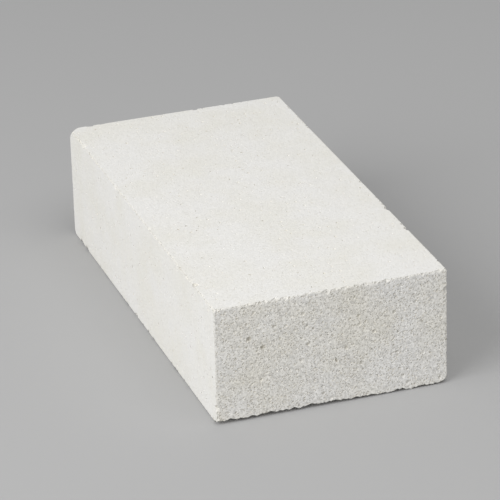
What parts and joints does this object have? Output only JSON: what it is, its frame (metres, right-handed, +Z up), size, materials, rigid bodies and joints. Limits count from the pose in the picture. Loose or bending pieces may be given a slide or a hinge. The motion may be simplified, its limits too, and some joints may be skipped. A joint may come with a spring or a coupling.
{
  "type": "insulating fire brick",
  "caption": "Light porous refractory brick, sawn square on all sides, with blunt arrises and a few worn corners, for lining kilns and furnaces.",
  "frame": {"origin": "middle of the lower bed face, on the floor", "axes": "+X along the length, towards the end that faces the camera; +Y across the width; +Z up through the thickness"},
  "size_m": [0.25, 0.124, 0.064],
  "materials": {
    "fired_refractory": "matte"
  },
  "bodies": {
    "root": {"insulating_brick": "fired_refractory"}
  },
  "joints": []
}
